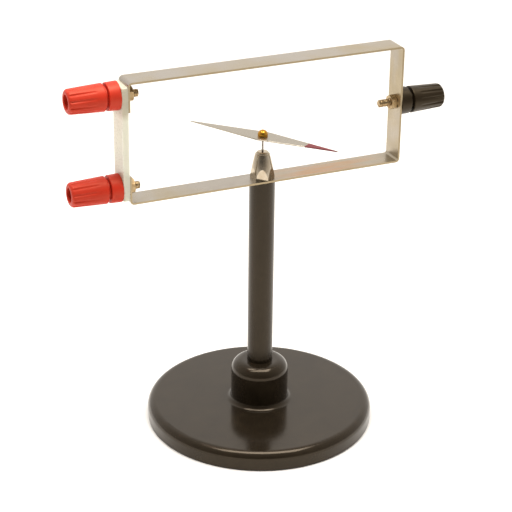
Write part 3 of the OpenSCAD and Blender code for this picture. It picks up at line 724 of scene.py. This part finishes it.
class OERSTED_OT_posts(bpy.types.Operator):
    """Make the fluted caps and threaded studs of the three binding posts"""

    bl_idname = "oersted.posts"
    bl_label = "Binding posts"

    def execute(self, context):
        colours = context.scene.oersted_colours
        sizes = context.scene.oersted_posts
        red = moulded_plastic(
            "Polyamide, injection moulded, red", colours.red, colours.red_sheen, 0.48)
        black = moulded_plastic(
            "Polyamide, injection moulded, black", colours.black, colours.black_sheen, 0.4)
        brass = turned_metal("Brass, turned", colours.brass, colours.brass_stain, 0.75, 0.32, 0.25)
        # Painted shade: the inserts' brass is painted dark for the shade in the groove between cap
        # and collar
        shaded_brass = turned_metal(
            "Brass, turned, shadowed", colours.shaded_brass, colours.shaded_brass_stain, 0.6, 0.45, 0.4)
        flutes, thread = flute_tree(), thread_tree()
        for post in POSTS:
            plastic = black if post == "black" else red
            slot = "black_moulding" if post == "black" else "red_moulding"
            wear(NODES[post + "_collar"], plastic)
            wear(NODES[post + "_insert"], shaded_brass)
            wear(NODES[post + "_nut"], brass)
            place, turn = post_place(post)
            self.make_cap(post, sizes, flutes, place, turn, plastic, slot)
            self.make_stud(post, sizes, thread, place, turn, brass)
        return {"FINISHED"}

    def make_cap(self, post, sizes, tree, place, turn, plastic, slot):
        """A turned blank with many sides, which the tree then flutes."""
        full, bevel, lip = sizes.cap_length, 0.3 * MM, -sizes.lip_length
        rear, end = sizes.cap_rear_round, sizes.cap_end_round
        lean = math.degrees(math.atan((sizes.cap_rear_radius - sizes.cap_end_radius) / full))
        slope = math.radians(lean)

        def side(height):
            """Radius of the sloping side at a height."""
            return sizes.cap_rear_radius - height * math.tan(slope)

        def centre(radius, height):
            """Centre of a round that touches the sloping side."""
            return side(height) - radius / math.cos(slope), height

        outline = arc(centre(rear, rear), rear, -90, lean, 6)
        # Enough points between the two rounds for the flutes to bend
        steps = 30
        low_z, high_z = rear * 1.2, full - end * 1.05
        heights = [low_z + (high_z - low_z) * i / steps for i in range(1, steps)]
        outline += [(side(height), height) for height in heights]
        outline += arc(centre(end, full - end), end, lean, 90, 14)
        outline += [
            (sizes.mouth_radius + bevel, full), (sizes.mouth_radius, full - bevel),
            (sizes.mouth_radius, sizes.insert_depth), (sizes.insert_bore, sizes.insert_depth),
            (sizes.insert_bore, lip), (sizes.lip_radius, lip), (sizes.lip_radius, 0)]
        blank = turned(
            post + "_cap_blank", outline, SIDES_PER_FLUTE * sizes.flute_count, closed=True)
        cap = shaped(post + "_cap_fluted", blank, tree, {
            "Count": sizes.flute_count, "Start": sizes.flute_start, "Length": full,
            "Rear radius": sizes.cap_rear_radius, "End radius": sizes.cap_end_radius,
            "Start depth": sizes.flute_start_depth, "End depth": sizes.flute_end_depth,
            "Softness": 0.12 * MM,
            "Place": place + Vector((math.copysign(sizes.cap_start, turn), 0, 0)),
            "Turn": (0, turn, 0), "Finish": plastic})
        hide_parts(post + "_cap")
        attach(cap, post + "_grip")

    def make_stud(self, post, sizes, tree, place, turn, brass):
        """A turned stud with its socket and wire hole, whose tail the tree then threads."""
        low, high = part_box(post + "_stud")
        tail = (high.x - place.x) if turn < 0 else (place.x - low.x)
        edge = 0.4 * MM
        stud = turned(post + "_stud_blank", [
            (0, -tail), (sizes.tail_core - edge, -tail), (sizes.tail_core, edge - tail),
            (sizes.tail_core, sizes.stud_shoulder), (sizes.stud_radius, sizes.stud_shoulder),
            (sizes.stud_radius, sizes.stud_end - edge), (sizes.stud_radius - edge, sizes.stud_end),
            (sizes.socket_radius + edge / 2, sizes.stud_end),
            (sizes.socket_radius, sizes.stud_end - edge / 2),
            (sizes.socket_radius, sizes.socket_floor), (0, sizes.socket_floor)], 72)
        body = new_piece(post + "_stud_body", stud)
        past, bore = 2 * sizes.stud_radius, sizes.wire_hole_radius
        drill = new_piece("drill", turned("drill", [
            (0, -past), (bore, -past), (bore, past), (0, past)], 32))
        drill.data.transform(
            Matrix.Translation((0, 0, sizes.wire_hole)) @ Matrix.Rotation(math.pi / 2, 4, "X"))
        cut = body.modifiers.new("Wire hole", "BOOLEAN")
        cut.operation, cut.object = "DIFFERENCE", drill
        drilled = settle(body, post + "_stud_drilled")
        bpy.data.objects.remove(drill)
        mesh = drilled.data.copy()
        bpy.data.objects.remove(drilled)
        piece = shaped(post + "_stud_threaded", mesh, tree, {
            "Start": edge / 2 - tail, "Length": tail - edge / 2, "Pitch": sizes.tail_pitch,
            "Core": sizes.tail_core, "Crest": sizes.tail_crest, "Place": place,
            "Turn": (0, turn, 0), "Finish": brass})
        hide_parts(post + "_stud")
        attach(piece, "stand")


class OERSTED_OT_pivot(bpy.types.Operator):
    """Finish the pivot holder and its steel point"""

    bl_idname = "oersted.pivot"
    bl_label = "Pivot"

    def execute(self, context):
        colours = context.scene.oersted_colours
        nickel = turned_metal(
            "Brass, turned and nickel plated", colours.nickel, colours.nickel_stain,
            0.45, 0.16, 0.35)
        wear(NODES["pivot_holder"], nickel)
        point = turned_metal(
            "Steel, hardened and polished", colours.point, colours.point_stain, 0.5, 0.3, 0.2)
        wear(NODES["pivot_pin"], point)
        return {"FINISHED"}


class OERSTED_OT_needle(bpy.types.Operator):
    """Grind the needle's blade, and finish its domed cap and the jewel"""

    bl_idname = "oersted.needle"
    bl_label = "Needle"

    def execute(self, context):
        colours = context.scene.oersted_colours
        sizes = context.scene.oersted_needle
        self.make_blade(sizes, lacquered_blade(colours, sizes))
        gilt = turned_metal(
            "Brass, turned and polished", colours.gilt, colours.gilt_stain, 0.6, 0.26, 0.2)
        wear(NODES["needle_cap"], gilt)
        wear(NODES["needle_jewel"], cut_ruby(colours))
        return {"FINISHED"}

    def make_blade(self, sizes, finish):
        """A long lozenge with a round hole, its edges broken with a stone."""
        low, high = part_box("needle_blade")
        half, wide, edge = sizes.blade_length / 2, sizes.blade_width / 2, sizes.edge
        steps = 64
        angles = [2 * math.pi * i / steps for i in range(steps)]

        def lozenge(inset, height):
            """The outline, drawn in by inset on all sides."""
            size = 1 - inset * math.hypot(half, wide) / (half * wide)
            points = []
            for a in angles:
                reach = size / (abs(math.cos(a)) / half + abs(math.sin(a)) / wide)
                points.append((reach * math.cos(a), reach * math.sin(a), height))
            return points

        def hole(radius, height):
            return [(radius * math.cos(a), radius * math.sin(a), height) for a in angles]

        mesh = skin("needle_blade_ground", [
            hole(sizes.hole_radius, low.z), lozenge(edge, low.z), lozenge(0, low.z + edge),
            lozenge(0, high.z - edge), lozenge(edge, high.z), hole(sizes.hole_radius, high.z)],
            closed=True)
        mesh.transform(Matrix.Rotation(sizes.heading, 4, "Z"))
        blade = new_piece("needle_blade_ground", mesh, 20)
        blade.data.materials.append(finish)
        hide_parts("needle_blade")
        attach(blade, "needle")


class OERSTED_OT_stage(bpy.types.Operator):
    """Make the studio: floor, soft lights and the camera"""

    bl_idname = "oersted.stage"
    bl_label = "Studio"

    def execute(self, context):
        scene = context.scene
        sizes = scene.oersted_studio
        mesh = bpy.data.meshes.new("floor")
        half = sizes.floor_width / 2
        corners = [(-half, -half, 0), (half, -half, 0), (half, half, 0), (-half, half, 0)]
        mesh.from_pydata(corners, [], [(0, 1, 2, 3)])
        floor = bpy.data.objects.new("floor", mesh)
        scene.collection.objects.link(floor)
        mesh.materials.append(matte_paper(scene.oersted_colours))
        self.make_sky(scene, sizes)
        self.make_lights(scene, sizes)
        self.make_camera(scene, sizes)
        scene.view_settings.view_transform = "Standard"
        return {"FINISHED"}

    def make_sky(self, scene, sizes):
        """Pale walls behind and beside the object, and a dark room straight behind the camera."""
        world = bpy.data.worlds.new("Studio")
        scene.world = world
        world.use_nodes = True
        tree = world.node_tree
        tree.nodes.clear()
        ray = add(tree, "ShaderNodeTexCoord").outputs["Generated"]
        behind = (math.sin(sizes.azimuth), math.cos(sizes.azimuth), 0.0)
        towards = add(tree, "ShaderNodeVectorMath", {0: ray, 1: behind}, operation="DOT_PRODUCT")
        walls = add(tree, "ShaderNodeMapRange", {
            "Value": towards.outputs["Value"], "From Min": -0.6, "From Max": 0.88,
            "To Min": sizes.sky_side, "To Max": sizes.sky_back})
        camera = add(tree, "ShaderNodeMapRange", {
            "Value": towards.outputs["Value"], "From Min": -0.92, "From Max": -0.62,
            "To Min": sizes.sky_front, "To Max": 1.0})
        shade = add(tree, "ShaderNodeMath", {
            0: walls.outputs[0], 1: camera.outputs[0]}, operation="MULTIPLY")
        light = add(tree, "ShaderNodeBackground", {
            "Color": scene.oersted_colours.light, "Strength": shade.outputs[0]})
        add(tree, "ShaderNodeOutputWorld", {"Surface": light.outputs[0]})

    def make_lights(self, scene, sizes):
        """One wide softbox overhead, a little towards the camera."""
        lamp = bpy.data.lights.new("key", "AREA")
        lamp.shape = "RECTANGLE"
        lamp.size, lamp.size_y = sizes.key_width, sizes.key_depth
        lamp.energy = sizes.key
        lamp.color = scene.oersted_colours.light[:3]
        key = bpy.data.objects.new("key", lamp)
        scene.collection.objects.link(key)
        behind = Vector((math.sin(sizes.azimuth), math.cos(sizes.azimuth), 0))
        spot = Vector((0, 0, sizes.key_height)) - behind * (50 * MM)
        key.matrix_world = aimed(spot, Vector((0, 0, 100 * MM)), 0)

    def make_camera(self, scene, sizes):
        """A camera that looks down at the apparatus from its front, a little from the left."""
        view = Vector((
            math.sin(sizes.azimuth) * math.cos(sizes.elevation),
            math.cos(sizes.azimuth) * math.cos(sizes.elevation), -math.sin(sizes.elevation)))
        right = Vector((math.cos(sizes.azimuth), -math.sin(sizes.azimuth), 0))
        target = right * sizes.target_shift + Vector((0, 0, sizes.target_height))
        lens = bpy.data.cameras.new("camera")
        lens.lens = sizes.lens
        lens.sensor_width = 36
        lens.clip_start, lens.clip_end = 50 * MM, 50
        camera = bpy.data.objects.new("camera", lens)
        scene.collection.objects.link(camera)
        camera.matrix_world = aimed(target - view * sizes.distance, target, sizes.roll)
        scene.camera = camera


def aimed(spot, target, roll):
    """A matrix at spot whose -Z axis points at target, rolled about that axis."""
    view = (target - spot).normalized()
    right = view.cross(Vector((0, 0, 1))).normalized()
    up = right.cross(view)
    turned_right = right * math.cos(roll) + up * math.sin(roll)
    turned_up = up * math.cos(roll) - right * math.sin(roll)
    matrix = Matrix((turned_right, turned_up, -view)).transposed().to_4x4()
    matrix.translation = spot
    return matrix


class OERSTED_PT_panel(bpy.types.Panel):
    """Lists the pieces with their sizes and colours"""

    bl_idname = "OERSTED_PT_panel"
    bl_label = "Oersted apparatus"
    bl_space_type = "VIEW_3D"
    bl_region_type = "UI"
    bl_category = "Oersted"

    def draw(self, context):
        scene = context.scene
        for operator in OPERATORS:
            self.layout.operator(operator.bl_idname)
        for group in (scene.oersted_posts, scene.oersted_stand, scene.oersted_needle,
                      scene.oersted_colours, scene.oersted_studio):
            box = self.layout.box()
            for name in group.__annotations__:
                box.prop(group, name)


OPERATORS = (OERSTED_OT_stand, OERSTED_OT_band, OERSTED_OT_posts, OERSTED_OT_pivot,
             OERSTED_OT_needle, OERSTED_OT_stage)
GROUPS = {"oersted_posts": OerstedPostSizes, "oersted_stand": OerstedStandSizes,
          "oersted_needle": OerstedNeedleSizes, "oersted_colours": OerstedColours,
          "oersted_studio": OerstedStudioSizes}


def register():
    for group in GROUPS.values():
        bpy.utils.register_class(group)
    for operator in OPERATORS:
        bpy.utils.register_class(operator)
    bpy.utils.register_class(OERSTED_PT_panel)
    for name, group in GROUPS.items():
        setattr(bpy.types.Scene, name, bpy.props.PointerProperty(type=group))


def unregister():
    for name in GROUPS:
        delattr(bpy.types.Scene, name)
    bpy.utils.unregister_class(OERSTED_PT_panel)
    for operator in reversed(OPERATORS):
        bpy.utils.unregister_class(operator)
    for group in reversed(GROUPS.values()):
        bpy.utils.unregister_class(group)


def main():
    register()
    bpy.ops.oersted.stand()
    bpy.ops.oersted.band()
    bpy.ops.oersted.posts()
    bpy.ops.oersted.pivot()
    bpy.ops.oersted.needle()
    bpy.ops.oersted.stage()


if __name__ == "__main__":
    main()
